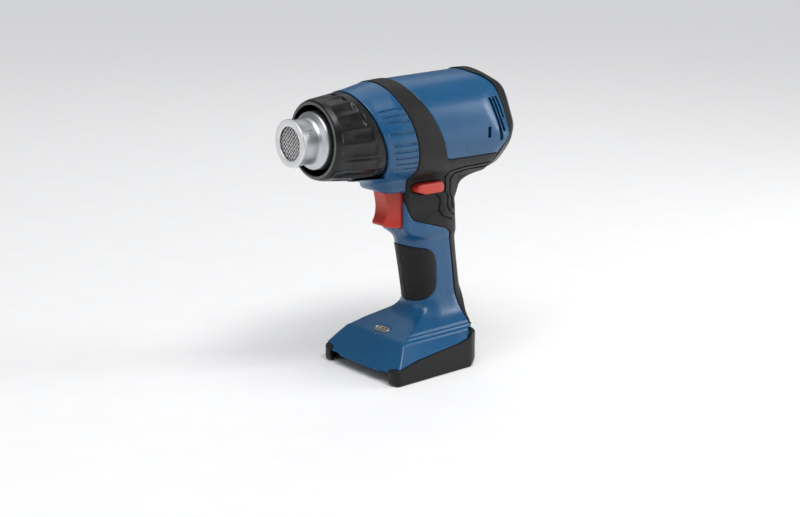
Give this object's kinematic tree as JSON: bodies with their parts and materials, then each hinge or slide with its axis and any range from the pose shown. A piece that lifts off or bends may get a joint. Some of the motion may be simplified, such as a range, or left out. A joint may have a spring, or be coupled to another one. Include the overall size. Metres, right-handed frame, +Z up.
{
  "type": "cordless heat gun",
  "caption": "Pistol-shaped hot-air gun with a steel outlet, ribbed heat sleeve, trigger, lock slider and a foot that takes a slide-on battery.",
  "frame": {"origin": "on the ground under the middle of the bounding box, the tool standing on the lower edges of its foot guards", "axes": "+X along the barrel towards the hot outlet, +Y the tool's left side, +Z up"},
  "size_m": [0.166, 0.075, 0.1885],
  "materials": {
    "housing": "satin moulded glass-filled nylon, blue",
    "soft_grip": "matte overmoulded thermoplastic elastomer, black",
    "black_shell": "fine-textured moulded nylon, black",
    "heat_resin": "satin heat-resistant resin, dark grey",
    "screen": "moulded dust screen",
    "nozzle_steel": "spun stainless steel, lightly heat-tinted",
    "mesh_steel": "woven stainless wire mesh",
    "tube_steel": "thin rolled stainless tube",
    "mica": "rolled mica sheet",
    "ceramic": "mica and ceramic insulation",
    "heat_wire": "oxidised resistance wire",
    "dark_nylon": "glass-filled nylon, black",
    "fan_nylon": "moulded nylon, grey",
    "shaft_steel": "ground steel",
    "copper_lacquer": "lacquered copper winding",
    "can_steel": "plated steel can",
    "board_green": "solder-masked circuit board",
    "switch_body": "moulded switch case",
    "plunger_white": "acetal",
    "red": "satin moulded ABS, red",
    "spring_steel": "spring wire",
    "contact_copper": "copper alloy blades",
    "lens": "clear moulded lens",
    "lead_red": "silicone-covered wire",
    "lead_sleeve": "glass-braid sleeved wire",
    "screw_steel": "blackened steel"
  },
  "bodies": {
    "housing": {"housing_left": "housing", "housing_right": "housing", "grip_left": "soft_grip", "grip_right": "soft_grip", "front_pad_left": "soft_grip", "front_pad_right": "soft_grip", "rear_cap": "black_shell", "intake_screen": "screen", "heat_sleeve": "heat_resin", "guard_left": "black_shell", "guard_right": "black_shell", "battery_socket": "dark_nylon", "terminal_block": "dark_nylon", "contact_blades": "contact_copper", "led_lens": "lens", "led_board": "board_green", "outlet_nozzle": "nozzle_steel", "outlet_mesh": "mesh_steel", "heater_tube": "tube_steel", "mica_tube": "mica", "heater_former": "ceramic", "heating_coil": "heat_wire", "heater_flange": "ceramic", "thermal_cutout": "can_steel", "fan_duct": "dark_nylon", "motor_can": "can_steel", "motor_mount": "dark_nylon", "control_board": "board_green", "switch_module": "switch_body", "trigger_spring": "spring_steel", "supply_leads": "lead_red", "heater_leads": "lead_sleeve", "housing_screws": "screw_steel"},
    "trigger_body": {"trigger": "red", "switch_plunger": "plunger_white"},
    "lock_body": {"lock_slider": "red"},
    "rotor": {"motor_shaft": "shaft_steel", "motor_armature": "copper_lacquer", "impeller": "fan_nylon"}
  },
  "joints": [
    {"name": "trigger_slide", "type": "slide", "parent": "housing", "child": "trigger_body", "axis": [-1, 0, 0], "range_m": [0, 0.0065], "stiffness_N_per_m": 900, "springref_m": -0.006, "deforming": ["trigger_spring"]},
    {"name": "lock_slide", "type": "slide", "parent": "housing", "child": "lock_body", "axis": [0, -1, 0], "range_m": [0, 0.005]},
    {"name": "fan_spin", "type": "hinge", "parent": "housing", "child": "rotor", "pos_m": [0, 0, 0.154], "axis": [1, 0, 0], "continuous": true}
  ]
}
